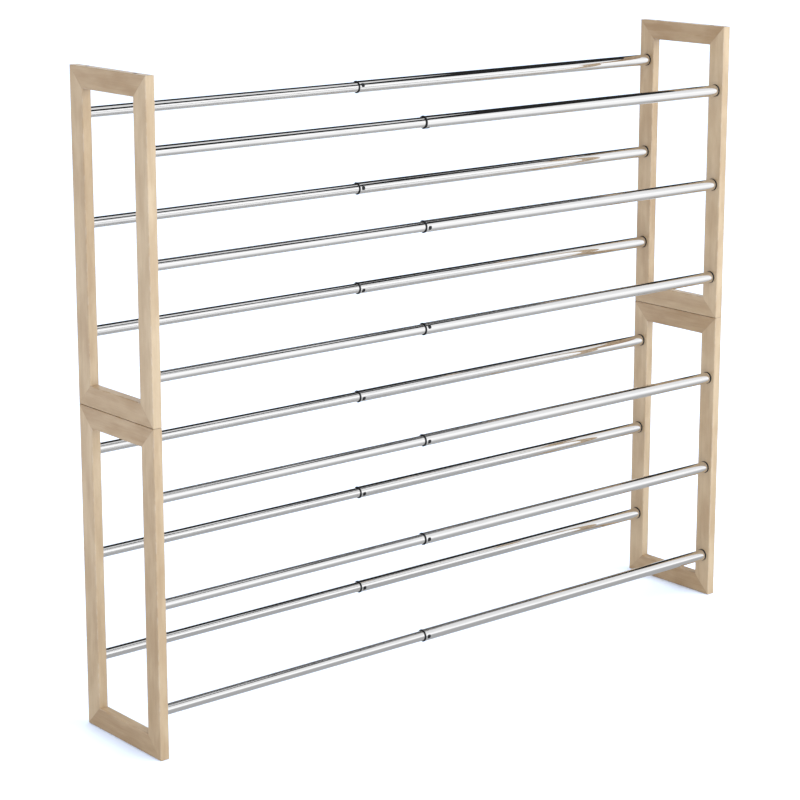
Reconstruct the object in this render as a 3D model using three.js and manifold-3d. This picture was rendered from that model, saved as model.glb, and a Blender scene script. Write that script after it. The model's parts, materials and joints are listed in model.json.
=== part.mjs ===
// A shoe rack of two identical three-tier units, one standing on the other.
// Each unit has two mitred wooden end frames and six telescoping steel rails:
// a thin tube seated in the left frame slides in a thicker tube seated in the right frame,
// through a plastic bushing. Steel pins between the units keep the upper one in place.
// X runs along the rails, Y from front to back, Z up; the origin is under the middle of the rack.
import * as THREE from 'three';
import { mergeVertices } from 'three/addons/utils/BufferGeometryUtils.js';
import Module from 'manifold-3d';

const wasm = await Module();
wasm.setup();

// Driving dimensions, in millimetres and degrees.
const unitHeight = 483;
const frameDepth = 188;
const stackGap = 0.3;              // between the upper unit and the lower one

const barThickness = 15;           // of the wood, measured along the rails
const barWidth = 31;               // across the face of a stile or crossbar
const edgeRadius = 1.5;            // on the long edges of every bar
const mitreGap = 0.3;              // between the two faces of a mitre

const outerTubeReach = 626;        // from the right frame to the open end of the thick tube
const innerTubeReach = 482;        // from the left frame to that same open end
const tubeOverlap = 140;           // of the thin tube inside the thick one
const outerTubeDiameter = 18.5;
const tubeWall = 0.7;
const tubeSeatDepth = 8;           // of a tube in its stile
const tubeSeatFit = 0.3;           // between a tube and its seat, all round and at the end

const tierCount = 3;
const lowestRail = 67.5;           // front rail of the first tier, above the unit's foot
const topMargin = 66.5;            // back rail of the last tier, below the unit's top
const backRise = 38;               // of a back rail above the front rail of its tier

const sleeveWall = 0.4;
const sleeveLength = 18;
const slideFit = 0.15;             // between the bushing and each of its tubes
const flangeThickness = 1.2;
const flangeLip = 0.4;             // of the flange beyond the thick tube
const nubDiameter = 5.6;
const nubSetback = 5.6;            // from the open end of the thick tube
const nubProud = 0.6;              // of the thick tube
const nubFit = 0.25;               // around the nub in its hole

const pinDiameter = 7;
const pinDepth = 12;               // of a pin in its hole
const pinInset = 34;               // from the front and back faces of a frame
const pinFit = 0.3;                // around a pin and at each of its ends
const plugLength = 8;
const plugChamfer = 0.5;
const plugRecess = 0.2;            // of a plug below the top edge

// How far each bushing is turned, as the angle of its nub above the straight front, first tier first.
const nubAngles = {
  lower: { front: [-5, -2, -9], back: [-9, -12, -19] },
  upper: { front: [27, -10, -75], back: [-23, 7, 21] },
};

const tubeSides = 16;
const nubSides = 8;
const edgeSegments = 2;

// Sizes that follow from the driving ones.
const outerTubeRadius = outerTubeDiameter / 2;
const outerTubeBore = outerTubeRadius - tubeWall;
const sleeveOuterRadius = outerTubeBore - slideFit;
const sleeveInnerRadius = sleeveOuterRadius - sleeveWall;
const innerTubeRadius = sleeveInnerRadius - slideFit;
const innerTubeBore = innerTubeRadius - tubeWall;
const rackWidth = 2 * barThickness + outerTubeReach + innerTubeReach;
const leftFrameFace = barThickness - rackWidth / 2;
const rightFrameFace = rackWidth / 2 - barThickness;
const jointPlane = rightFrameFace - outerTubeReach;
const stileCentre = frameDepth / 2 - barWidth / 2;
const pinOffset = frameDepth / 2 - pinInset;
const tierPitch = (unitHeight - topMargin - backRise - lowestRail) / (tierCount - 1);

const materials = {
  wood: { color: 0xcfb592, roughness: 0.55, metalness: 0 },
  chrome: { color: 0xe4e6e8, roughness: 0.12, metalness: 1 },
  plastic: { color: 0x18181a, roughness: 0.45, metalness: 0 },
  steel: { color: 0xb4b6b8, roughness: 0.35, metalness: 1 },
};

// Turns a closed geometry into a solid that can be joined and cut.
function solidOf(geometry) {
  const bare = geometry.index ? geometry.clone() : geometry;
  bare.deleteAttribute('normal');
  bare.deleteAttribute('uv');
  const merged = mergeVertices(bare);
  const corners = merged.index.array;
  const triangles = [];
  for (let i = 0; i < corners.length; i += 3) {
    const [a, b, c] = corners.slice(i, i + 3);
    if (a !== b && b !== c && c !== a) triangles.push(a, b, c);
  }
  return new wasm.Manifold(new wasm.Mesh({
    numProp: 3,
    vertProperties: new Float32Array(merged.attributes.position.array),
    triVerts: new Uint32Array(triangles),
  }));
}

// Gives a solid back as a geometry.
function geometryOf(solid) {
  const mesh = solid.getMesh();
  const geometry = new THREE.BufferGeometry();
  geometry.setAttribute('position', new THREE.BufferAttribute(new Float32Array(mesh.vertProperties), 3));
  geometry.setIndex(new THREE.BufferAttribute(new Uint32Array(mesh.triVerts), 1));
  geometry.computeVertexNormals();
  return geometry;
}

function namedMesh(name, geometry, finish) {
  const mesh = new THREE.Mesh(geometry, new THREE.MeshStandardMaterial(materials[finish]));
  mesh.name = name;
  return mesh;
}

// A turned shape along X: its profile is a list of [radius, x] points, outer side in the +X direction.
function turned(profile, sides = tubeSides) {
  const points = profile.map(([radius, x]) => new THREE.Vector2(radius, x));
  return new THREE.LatheGeometry(points, sides).rotateZ(-Math.PI / 2);
}

function tubeProfile(bore, radius, start, end) {
  return [[bore, start], [radius, start], [radius, end], [bore, end], [bore, start]];
}

function rod(radius, start, end, sides = tubeSides) {
  return turned([[0, start], [radius, start], [radius, end], [0, end]], sides);
}

// A rod pointing up from the height given, for pins and their holes.
function uprightRod(radius, bottom, top) {
  return rod(radius, bottom, top).rotateY(-Math.PI / 2);
}

// Height of a rail above its unit's foot.
function railHeight(row, tier) {
  return lowestRail + tier * tierPitch + (row === 'back' ? backRise : 0);
}

function railDepth(row) {
  return row === 'front' ? -stileCentre : stileCentre;
}

// One bar of a frame before its holes: length along X from 0, outer edge along X at Y = 0, thickness
// about Z = 0, long edges rounded and both ends cut at 45 degrees, short by half the mitre gap.
function mitredBar(length) {
  const half = barThickness / 2;
  const section = new THREE.Shape();
  section.absarc(half - edgeRadius, edgeRadius, edgeRadius, -Math.PI / 2, 0);
  section.absarc(half - edgeRadius, barWidth - edgeRadius, edgeRadius, 0, Math.PI / 2);
  section.absarc(edgeRadius - half, barWidth - edgeRadius, edgeRadius, Math.PI / 2, Math.PI);
  section.absarc(edgeRadius - half, edgeRadius, edgeRadius, Math.PI, 1.5 * Math.PI);
  const options = { depth: length, bevelEnabled: false, curveSegments: edgeSegments };
  const stick = new THREE.ExtrudeGeometry(section, options);
  stick.rotateY(Math.PI / 2);

  const trim = mitreGap / Math.SQRT2;
  const outline = new THREE.Shape();
  outline.moveTo(trim - barWidth, -barWidth);
  outline.lineTo(length - trim + barWidth, -barWidth);
  outline.lineTo(length - trim - 2 * barWidth, 2 * barWidth);
  outline.lineTo(trim + 2 * barWidth, 2 * barWidth);
  const mitre = new THREE.ExtrudeGeometry(outline, { depth: 2 * barThickness, bevelEnabled: false });
  mitre.translate(0, 0, -barThickness);
  return solidOf(stick).intersect(solidOf(mitre));
}

// The four bars run round the frame: from each bar's start corner the next one turns by 90 degrees.
const frameBars = [
  { name: 'bottom_bar', start: [-frameDepth / 2, 0], length: frameDepth, turn: 0 },
  { name: 'back_stile', start: [frameDepth / 2, 0], length: unitHeight, turn: 1 },
  { name: 'top_bar', start: [frameDepth / 2, unitHeight], length: frameDepth, turn: 2 },
  { name: 'front_stile', start: [-frameDepth / 2, unitHeight], length: unitHeight, turn: 3 },
];

// The holes of a frame, in the frame's own coordinates: seats for the rails in its inner face,
// and pin holes in its top and bottom edges. inward is +1 on the left frame and -1 on the right.
function frameHoles(tubeRadius, inward) {
  const holes = [];
  const seatFloor = inward * (barThickness / 2 - tubeSeatDepth - tubeSeatFit);
  const seatMouth = inward * barThickness;
  for (const row of ['front', 'back']) {
    for (let tier = 0; tier < tierCount; tier += 1) {
      const seat = rod(tubeRadius + tubeSeatFit, Math.min(seatFloor, seatMouth), Math.max(seatFloor, seatMouth));
      holes.push(seat.translate(0, railDepth(row), railHeight(row, tier)));
    }
  }
  for (const side of [-1, 1]) {
    for (const edge of [0, unitHeight]) {
      const hole = uprightRod(pinDiameter / 2 + pinFit, edge - pinDepth - pinFit, edge + pinDepth + pinFit);
      holes.push(hole.translate(0, side * pinOffset, 0));
    }
  }
  return holes.map(solidOf);
}

// One end frame, centred on its own X = 0.
function endFrame(prefix, tubeRadius, inward) {
  const frame = new THREE.Group();
  const holes = frameHoles(tubeRadius, inward);
  for (const bar of frameBars) {
    const placed = geometryOf(mitredBar(bar.length));
    placed.applyMatrix4(new THREE.Matrix4().makeBasis(
      new THREE.Vector3(0, 1, 0), new THREE.Vector3(0, 0, 1), new THREE.Vector3(1, 0, 0)));
    placed.rotateX(bar.turn * Math.PI / 2).translate(0, ...bar.start);
    let wood = solidOf(placed);
    for (const hole of holes) wood = wood.subtract(hole);
    frame.add(namedMesh(`${prefix}_${bar.name}`, geometryOf(wood), 'wood'));
  }
  return frame;
}

// A nub-shaped rod standing out from a rail's axis, turned up from the front by the angle given.
function nubRod(radius, from, to, angle) {
  const nub = rod(radius, from, to, nubSides);
  nub.rotateZ(-Math.PI / 2).rotateX(THREE.MathUtils.degToRad(-angle));
  return solidOf(nub.translate(jointPlane + nubSetback, 0, 0));
}

// Thick tube from the joint into the right frame, with the hole that the nub snaps into.
function outerTube(angle) {
  const tube = turned(tubeProfile(outerTubeBore, outerTubeRadius, jointPlane, rightFrameFace + tubeSeatDepth));
  const hole = nubRod(nubDiameter / 2 + nubFit, sleeveInnerRadius, 2 * outerTubeRadius, angle);
  return geometryOf(solidOf(tube).subtract(hole));
}

// Thin tube from the left frame through the bushing, as far as the overlap.
function innerTube() {
  const start = leftFrameFace - tubeSeatDepth;
  return geometryOf(solidOf(turned(tubeProfile(innerTubeBore, innerTubeRadius, start, jointPlane + tubeOverlap))));
}

// Bushing: a flange against the open end of the thick tube, a sleeve inside it, and the snap-in nub.
function bushing(angle) {
  const flangeRadius = outerTubeRadius + flangeLip;
  const tubeEnd = jointPlane - slideFit;
  const flangeStart = tubeEnd - flangeThickness;
  const sleeveEnd = jointPlane + sleeveLength;
  const body = turned([
    [sleeveInnerRadius, flangeStart],
    [flangeRadius, flangeStart],
    [flangeRadius, tubeEnd],
    [sleeveOuterRadius, tubeEnd],
    [sleeveOuterRadius, sleeveEnd],
    [sleeveInnerRadius, sleeveEnd],
    [sleeveInnerRadius, flangeStart],
  ]);
  const nubFoot = sleeveInnerRadius + sleeveWall / 4;
  const nub = nubRod(nubDiameter / 2, nubFoot, outerTubeRadius + nubProud, angle);
  return geometryOf(solidOf(body).add(nub));
}

// One telescoping rail: two tubes and a bushing.
function rail(unitName, row, tier) {
  const angle = nubAngles[unitName][row][tier];
  const label = (piece) => `${unitName}_${row}_${piece}_${tier + 1}`;
  const group = new THREE.Group();
  group.add(namedMesh(label('outer_tube'), outerTube(angle), 'chrome'));
  group.add(namedMesh(label('inner_tube'), innerTube(), 'chrome'));
  group.add(namedMesh(label('bushing'), bushing(angle), 'plastic'));
  group.position.set(0, railDepth(row), railHeight(row, tier));
  return group;
}

// One three-tier unit standing at Z = 0.
function unit(unitName) {
  const group = new THREE.Group();
  const left = endFrame(`${unitName}_left`, innerTubeRadius, 1);
  const right = endFrame(`${unitName}_right`, outerTubeRadius, -1);
  left.position.x = leftFrameFace - barThickness / 2;
  right.position.x = rightFrameFace + barThickness / 2;
  group.add(left, right);
  for (const row of ['front', 'back']) {
    for (let tier = 0; tier < tierCount; tier += 1) group.add(rail(unitName, row, tier));
  }
  return group;
}

// Steel pin standing in the top of the lower unit and reaching into the foot of the upper one.
function stackingPin() {
  return uprightRod(pinDiameter / 2, unitHeight - pinDepth, unitHeight + stackGap + pinDepth);
}

// Plug that closes a pin hole in the top of the upper unit, just below flush, with a chamfered rim.
function holePlug() {
  const radius = pinDiameter / 2;
  const top = unitHeight - plugRecess;
  const profile = [
    [0, top - plugLength],
    [radius, top - plugLength],
    [radius, top - plugChamfer],
    [radius - plugChamfer, top],
    [0, top],
  ];
  return turned(profile).rotateY(-Math.PI / 2);
}

// Places one small piece at each pin position of both end frames.
function atPinPositions(pieceName, makePiece, finish) {
  const group = new THREE.Group();
  const sides = { left: leftFrameFace - barThickness / 2, right: rightFrameFace + barThickness / 2 };
  for (const [side, x] of Object.entries(sides)) {
    for (const [row, y] of [['front', -pinOffset], ['back', pinOffset]]) {
      const piece = geometryOf(solidOf(makePiece()));
      const mesh = namedMesh(`${side}_${row}_${pieceName}`, piece, finish);
      mesh.position.set(x, y, 0);
      group.add(mesh);
    }
  }
  return group;
}

const rack = new THREE.Group();
const lowerUnit = unit('lower');
const upperUnit = unit('upper');
upperUnit.position.z = unitHeight + stackGap;
upperUnit.add(atPinPositions('pin_hole_plug', holePlug, 'plastic'));
rack.add(lowerUnit, upperUnit, atPinPositions('stacking_pin', stackingPin, 'steel'));

export default rack;
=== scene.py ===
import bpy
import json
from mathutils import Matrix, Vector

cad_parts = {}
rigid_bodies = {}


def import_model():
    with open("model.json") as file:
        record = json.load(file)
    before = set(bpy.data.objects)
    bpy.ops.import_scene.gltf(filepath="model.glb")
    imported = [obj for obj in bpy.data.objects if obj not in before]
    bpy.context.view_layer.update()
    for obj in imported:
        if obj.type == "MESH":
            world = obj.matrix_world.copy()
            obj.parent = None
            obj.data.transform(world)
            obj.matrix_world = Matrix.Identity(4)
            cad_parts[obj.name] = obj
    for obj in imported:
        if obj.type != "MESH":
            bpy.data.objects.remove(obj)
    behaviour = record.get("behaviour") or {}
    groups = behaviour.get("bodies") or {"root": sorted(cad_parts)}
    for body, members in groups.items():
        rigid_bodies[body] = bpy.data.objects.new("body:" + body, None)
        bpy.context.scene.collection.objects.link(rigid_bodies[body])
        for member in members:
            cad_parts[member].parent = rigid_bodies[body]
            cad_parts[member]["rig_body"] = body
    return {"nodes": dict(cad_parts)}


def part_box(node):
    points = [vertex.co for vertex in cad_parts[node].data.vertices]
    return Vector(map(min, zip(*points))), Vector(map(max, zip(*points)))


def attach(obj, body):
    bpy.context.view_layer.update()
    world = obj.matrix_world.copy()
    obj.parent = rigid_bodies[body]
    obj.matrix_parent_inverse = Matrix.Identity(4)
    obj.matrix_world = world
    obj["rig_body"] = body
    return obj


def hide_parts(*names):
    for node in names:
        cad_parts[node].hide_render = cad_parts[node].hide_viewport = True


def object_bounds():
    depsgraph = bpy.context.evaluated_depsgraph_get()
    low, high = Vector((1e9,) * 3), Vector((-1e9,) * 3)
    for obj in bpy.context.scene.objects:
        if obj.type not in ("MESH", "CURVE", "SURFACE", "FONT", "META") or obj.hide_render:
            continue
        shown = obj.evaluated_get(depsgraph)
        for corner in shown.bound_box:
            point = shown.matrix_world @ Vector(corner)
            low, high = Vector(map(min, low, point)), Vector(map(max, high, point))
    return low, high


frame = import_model()
cad_box = [list(corner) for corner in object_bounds()]

import json
import math

import bpy
import numpy as np
from mathutils import Vector

bl_info = {
    "name": "Stacking shoe rack",
    "version": (1, 0, 0),
    "blender": (4, 5, 0),
    "location": "View3D > Sidebar > Shoe rack",
    "description": "Builds a two-unit shoe rack with mitred wooden end frames and telescoping steel rails",
    "category": "Add Mesh",
}

UNITS = ("lower", "upper")
SIDES = ("left", "right")
ROWS = ("front", "back")
TIERS = (1, 2, 3)
BARS = ("bottom_bar", "back_stile", "top_bar", "front_stile")
BAR_INWARDS = ((0, 0, 1), (0, -1, 0), (0, 0, -1), (0, 1, 0))
RAILS = [(unit, row, tier) for unit in UNITS for row in ROWS for tier in TIERS]
TONE_SEED = 11
BAR_TONES = (0.6, 0.0, 1.2, 0.0)
TONE_SPREAD = 0.35
GRAIN_SHIFT = 5.0


# Settings that a user would change.

def length_setting(name, description, default, least, most):
    """Length in metres, with its default and its limits."""
    return bpy.props.FloatProperty(
        name=name, description=description, default=default, min=least, max=most, unit="LENGTH", precision=5)


def colour_setting(name, description, default):
    """Linear red, green and blue."""
    return bpy.props.FloatVectorProperty(
        name=name, description=description, default=default, min=0.0, max=1.0, subtype="COLOR")


class EndFrameSettings(bpy.types.PropertyGroup):
    """Sizes and colours of the wooden end frames."""
    edge_radius: length_setting(
        "Edge radius", "Rounding of the long edges of every bar", 0.0015, 0.0003, 0.005)
    hole_clearance: length_setting(
        "Hole clearance", "Gap round a rail or a pin in its hole", 0.0003, 0.0001, 0.001)
    rail_seat_depth: length_setting(
        "Rail seat depth", "Depth of the blind holes that hold the rails", 0.0083, 0.003, 0.012)
    pin_hole_depth: length_setting(
        "Pin hole depth", "Depth of the holes for the stacking pins", 0.0123, 0.003, 0.02)
    rim_chamfer: length_setting("Hole chamfer", "Broken edge round every drilled hole", 0.00025, 0.0, 0.001)
    mitre_trim: length_setting(
        "Mitre trim", "How far each glued mitre face stands back from its corner", 0.00005, 0.00001, 0.0002)
    pale_wood: colour_setting("Pale wood", "Colour of the light summer wood", (0.57, 0.390, 0.212))
    deep_wood: colour_setting("Deep wood", "Colour of the darker grain lines", (0.33, 0.182, 0.070))


class RailSettings(bpy.types.PropertyGroup):
    """Sizes and colours of the telescoping rails."""
    wall: length_setting("Tube wall", "Wall thickness of both tubes", 0.0007, 0.0003, 0.002)
    rim_round: length_setting("Rim rounding", "Rounding of the tube ends", 0.00025, 0.00005, 0.0003)
    sides: bpy.props.IntProperty(
        name="Sides", description="Number of facets round a tube", default=72, min=36, max=144)
    chrome: colour_setting("Chrome", "Colour that the chrome plating reflects", (0.90, 0.90, 0.905))


class FittingSettings(bpy.types.PropertyGroup):
    """Sizes and colours of the bushings, rings, pins and plugs."""
    nub_half_width: length_setting(
        "Nub half width", "Half the width of the snap-in nub of a bushing", 0.0028, 0.001, 0.003)
    nub_clearance: length_setting("Nub clearance", "Gap round the nub in its hole", 0.00025, 0.0001, 0.0005)
    wide_ring: length_setting(
        "Wide ring", "Width of the ring where a thick tube enters its frame", 0.0020, 0.0005, 0.006)
    wide_ring_lip: length_setting(
        "Wide ring lip", "How far that ring stands out from the tube", 0.0006, 0.0003, 0.004)
    thin_ring: length_setting(
        "Thin ring", "Width of the ring where a thin tube enters its frame", 0.0008, 0.0003, 0.004)
    thin_ring_lip: length_setting(
        "Thin ring lip", "How far that ring stands out from the tube", 0.0007, 0.0003, 0.004)
    black: colour_setting(
        "Black plastic", "Colour of the bushings, rings and plugs", (0.008, 0.0078, 0.0075))
    steel: colour_setting("Steel", "Colour of the stacking pins", (0.56, 0.57, 0.58))


class StageSettings(bpy.types.PropertyGroup):
    """Floor, light and camera."""
    floor: colour_setting("Floor", "Colour of the plain floor", (0.97, 0.97, 0.97))
    ambient: bpy.props.FloatProperty(
        name="Studio light", description="Brightness of the soft light from all round",
        default=1.0, min=0.0, max=5.0)
    overhead: bpy.props.FloatProperty(
        name="Overhead light", description="Power of the large soft light above the front",
        default=80.0, min=0.0, max=1000.0, unit="POWER")
    lens: bpy.props.FloatProperty(
        name="Lens", description="Focal length of the camera, in millimetres",
        default=105.4, min=10.0, max=300.0)
    lens_shift: bpy.props.FloatProperty(
        name="Lens shift", description="Vertical shift of the lens, as a share of the picture's width",
        default=-0.10, min=-0.5, max=0.5)
    turn: bpy.props.FloatProperty(
        name="Camera turn", description="Turn of the camera about the vertical",
        default=-0.6951, subtype="ANGLE")
    tilt: bpy.props.FloatProperty(
        name="Camera tilt", description="Tilt of the camera, negative when it looks down",
        default=-0.2136, subtype="ANGLE")
    stand: bpy.props.FloatVectorProperty(
        name="Camera position", description="Where the camera stands",
        default=(-2.291, -2.685, 1.307), subtype="TRANSLATION")


# Shells: closed surfaces gathered from grids and rings of points.

# Distance at which a line of points beside a rounded edge keeps the flat next to it flat.
SUPPORT = 0.0002


class Shell:
    """Points and faces of one closed surface, in the piece's own axes."""

    def __init__(self):
        self.blocks = []
        self.faces = []
        self.caps = []
        self.count = 0

    def add(self, points):
        """Stores an array of points whose last axis is x, y, z and gives their numbers in the same shape."""
        shape = points.shape[:-1]
        numbers = self.count + np.arange(int(np.prod(shape))).reshape(shape)
        self.blocks.append(points.reshape(-1, 3))
        self.count += numbers.size
        return numbers

    def grid(self, points, gaps=(), closed=False):
        """Grid of rows by columns whose columns wrap round; its rows wrap too when closed.

        Face (i, j) runs through points (i, j), (i, j+1), (i+1, j+1) and (i+1, j).
        Each gap (first row, last row, first column, last column) is left open.
        """
        numbers = self.add(points)
        keep = np.ones(numbers.shape, bool)
        keep[-1] = closed
        for top, bottom, left, right in gaps:
            keep[top:bottom, left:right] = False
        beside = np.roll(numbers, -1, axis=1)
        below = [np.roll(beside, -1, axis=0), np.roll(numbers, -1, axis=0)]
        quads = np.stack([numbers, beside, *below], axis=-1)
        self.faces += quads[keep].tolist()
        return numbers

    def band(self, ring, following):
        """Faces between two rings of the same length."""
        quads = np.stack([ring, np.roll(ring, -1), np.roll(following, -1), following], axis=-1)
        self.faces += quads.tolist()

    def cap(self, ring):
        """One flat face that closes a ring."""
        self.caps.append(len(self.faces))
        self.faces.append(ring.tolist())

    def local_points(self):
        return np.concatenate(self.blocks)


def gap_ring(numbers, gap):
    """Point numbers round a gap of a grid, in the turning sense of the faces it replaces."""
    top, bottom, left, right = gap
    return np.concatenate([
        numbers[top, left:right], numbers[top:bottom, right],
        numbers[bottom, right:left:-1], numbers[bottom:top:-1, left]])


def fill_gap(shell, ring, flat, centre, steps, lift, power=2.0):
    """Fills a gap with rings that turn from its outline into a round or squarish loop.

    flat holds the outline's (u, v). At angle a from the centre a loop of size s stands at
    s / (|cos a|^power + |sin a|^power)^(1/power): a circle at power 2, a rounded square at 4.
    Each step is (size, height), and lift(u, v, height) gives the points. Returns the last ring.
    """
    offset = flat - centre
    angle = np.arctan2(offset[:, 1], offset[:, 0])
    across = np.stack([np.cos(angle), np.sin(angle)], axis=-1)
    loop = across * ((np.abs(across) ** power).sum(axis=1) ** (-1.0 / power))[:, None]
    first_size, first_height = steps[0]
    halfway = centre + (offset + loop * first_size) / 2.0
    rings = [(halfway, first_height)] + [(centre + loop * size, height) for size, height in steps]
    for place, height in rings:
        following = shell.add(lift(place[:, 0], place[:, 1], height))
        shell.band(ring, following)
        ring = following
    return ring


def fillet(centre, radius, start, stop, count=4):
    """Points (x, y) of an arc: centre + radius * (cos a, sin a), with a from start to stop in degrees."""
    angle = np.radians(np.linspace(start, stop, count))
    return np.stack([centre[0] + radius * np.cos(angle), centre[1] + radius * np.sin(angle)], axis=-1)


def turned_angles(sides):
    """Even angles from -180 degrees up to just before 180 degrees."""
    return -math.pi + np.arange(sides) * (2.0 * math.pi / sides)


def turned_points(profile, sides):
    """Surface of revolution: profile point (x, r) becomes (x, -r sin a, r cos a) at every angle a."""
    angle = turned_angles(sides)
    along = np.repeat(profile[:, :1], sides, axis=1)
    return np.stack([along, -profile[:, 1:] * np.sin(angle), profile[:, 1:] * np.cos(angle)], axis=-1)


def turned_ring(profile, sides):
    """Closed shell of a profile that runs round without touching the axis."""
    shell = Shell()
    shell.grid(turned_points(profile, sides), closed=True)
    return shell


def turned_rod(profile, sides):
    """Closed shell of a profile whose two ends are flat discs."""
    shell = Shell()
    numbers = shell.grid(turned_points(profile, sides))
    shell.cap(numbers[0][::-1])
    shell.cap(numbers[-1])
    return shell


def finish_piece(node, shell, axes, origin, material, values, own_name=None):
    """Makes the mesh object: world point = origin + local point * axes.

    It rides on the node's body, and it replaces the node unless it has a name of its own.
    """
    name = own_name or f"shown_{node}"
    local = shell.local_points()
    world = local @ np.array(axes, float) + np.array(origin, float)
    mesh = bpy.data.meshes.new(name)
    mesh.from_pydata(world.tolist(), [], shell.faces)
    mesh.update()
    smooth = np.ones(len(shell.faces), bool)
    smooth[shell.caps] = False
    mesh.polygons.foreach_set("use_smooth", smooth)
    corner_edges = np.empty(len(mesh.loops), np.int32)
    mesh.loops.foreach_get("edge_index", corner_edges)
    sharp = np.zeros(len(mesh.edges), bool)
    for cap in shell.caps:
        sharp[corner_edges[list(mesh.polygons[cap].loop_indices)]] = True
    mesh.attributes.new("sharp_edge", "BOOLEAN", "EDGE").data.foreach_set("value", sharp)
    for label, data in values.items():
        kind = "FLOAT_VECTOR" if data.ndim == 2 else "FLOAT"
        attribute = mesh.attributes.new(label, kind, "POINT")
        field = "vector" if data.ndim == 2 else "value"
        attribute.data.foreach_set(field, data.astype(np.float32).ravel())
    mesh.materials.append(material)
    if mesh.validate():
        raise RuntimeError(f"{name} has broken faces")
    piece = bpy.data.objects.new(name, mesh)
    bpy.context.scene.collection.objects.link(piece)
    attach(piece, frame["nodes"][node]["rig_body"])
    if own_name is None:
        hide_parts(node)


# Nodes.

def add_node(tree, kind, inputs=None, **settings):
    """New node; each input is a value or another node's output."""
    node = tree.nodes.new(kind)
    for key, value in settings.items():
        setattr(node, key, value)
    for key, value in (inputs or {}).items():
        if isinstance(value, bpy.types.NodeSocket):
            tree.links.new(value, node.inputs[key])
        else:
            node.inputs[key].default_value = value
    return node


def connect(tree, sockets, sources):
    """Links each output to the input socket that it is named after."""
    for label, source in sources.items():
        tree.links.new(source, sockets[label])


def calculate(tree, operation, *values, clamp=False):
    """Output of a Math node."""
    inputs = dict(enumerate(values))
    return add_node(tree, "ShaderNodeMath", inputs, operation=operation, use_clamp=clamp).outputs[0]


def remap(tree, value, low, high, new_low=0.0, new_high=1.0):
    """Output that runs from new_low to new_high as value goes from low to high."""
    inputs = {"Value": value, "From Min": low, "From Max": high, "To Min": new_low, "To Max": new_high}
    return add_node(tree, "ShaderNodeMapRange", inputs, interpolation_type="SMOOTHSTEP").outputs["Result"]


def blend_colour(tree, share, first, second):
    """Output of a colour mix."""
    return add_node(tree, "ShaderNodeMix", {0: share, 6: first, 7: second}, data_type="RGBA").outputs[2]


def times(tree, first, second):
    """Output of a product."""
    return calculate(tree, "MULTIPLY", first, second)


def plain_noise(tree, place, scale, detail, roughness=0.5, warp=0.0):
    """Output of a noise that is the same size in every direction."""
    inputs = {"Vector": place, "Scale": scale, "Detail": detail, "Roughness": roughness, "Distortion": warp}
    return add_node(tree, "ShaderNodeTexNoise", inputs).outputs["Fac"]


def stretched_noise(tree, place, stretch, detail, roughness=0.5, warp=0.0):
    """Output of a noise read at place * stretch."""
    scaled = add_node(tree, "ShaderNodeVectorMath", {0: place, 1: stretch}, operation="MULTIPLY")
    return plain_noise(tree, scaled.outputs[0], 1.0, detail, roughness, warp)


def shared_group(name):
    """The named node group, made on first use with its sockets and its own nodes."""
    tree = bpy.data.node_groups.get(name)
    if tree is None:
        inputs, outputs, fill = SHARED_GROUPS[name]
        tree = bpy.data.node_groups.new(name, "ShaderNodeTree")
        for direction, sockets in (("INPUT", inputs), ("OUTPUT", outputs)):
            for label, kind in sockets.items():
                tree.interface.new_socket(label, in_out=direction, socket_type=f"NodeSocket{kind}")
        fill(tree, add_node(tree, "NodeGroupInput").outputs, add_node(tree, "NodeGroupOutput").inputs)
    return tree


def group_node(tree, name, inputs):
    """Outputs of the named group, placed in a material with its own values."""
    return add_node(tree, "ShaderNodeGroup", inputs, node_tree=shared_group(name)).outputs


def fill_grain(tree, given, result):
    """Wood grain: clouds, bands, fine fibres and short pores, all long in x, the direction of the bar."""
    cloud = stretched_noise(tree, given["Place"], (16.0, 52.0, 52.0), 3.0)
    band = stretched_noise(tree, given["Place"], (7.0, 130.0, 130.0), 3.0, 0.55, 0.6)
    fibre = stretched_noise(tree, given["Place"], (30.0, 1100.0, 1100.0), 3.0, 0.6)
    pore = stretched_noise(tree, given["Place"], (190.0, 2400.0, 2400.0), 2.0, 0.5)
    bands = times(tree, remap(tree, band, 0.32, 0.72), 0.17)
    clouds = times(tree, remap(tree, cloud, 0.30, 0.70), 0.36)
    grain = calculate(tree, "ADD", calculate(tree, "ADD", bands, clouds), times(tree, fibre, 0.30))
    toned = calculate(tree, "ADD", grain, times(tree, given["Tone"], 0.34), clamp=True)
    base = blend_colour(tree, toned, given["Pale"], given["Deep"])
    pores = times(tree, remap(tree, pore, 0.63, 0.74), 0.30)
    connect(tree, result, {
        "Color": blend_colour(tree, pores, base, (0.26, 0.16, 0.09, 1.0)),
        "Roughness": remap(tree, fibre, 0.2, 0.8, 0.34, 0.46),
        "Height": calculate(tree, "SUBTRACT", times(tree, fibre, 0.5), pores)})


def fill_wear(tree, given, result):
    """Edge wear: the edge mask broken up by noise, plus faint handling marks everywhere."""
    patch = plain_noise(tree, given["Place"], given["Size"], 3.0, 0.6)
    smear = stretched_noise(tree, given["Place"], (14.0, 45.0, 45.0), 3.0, 0.6)
    connect(tree, result, {
        "Worn": times(tree, given["Edge"], remap(tree, patch, 0.4, 0.7)),
        "Marks": remap(tree, smear, 0.45, 0.75)})


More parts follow.
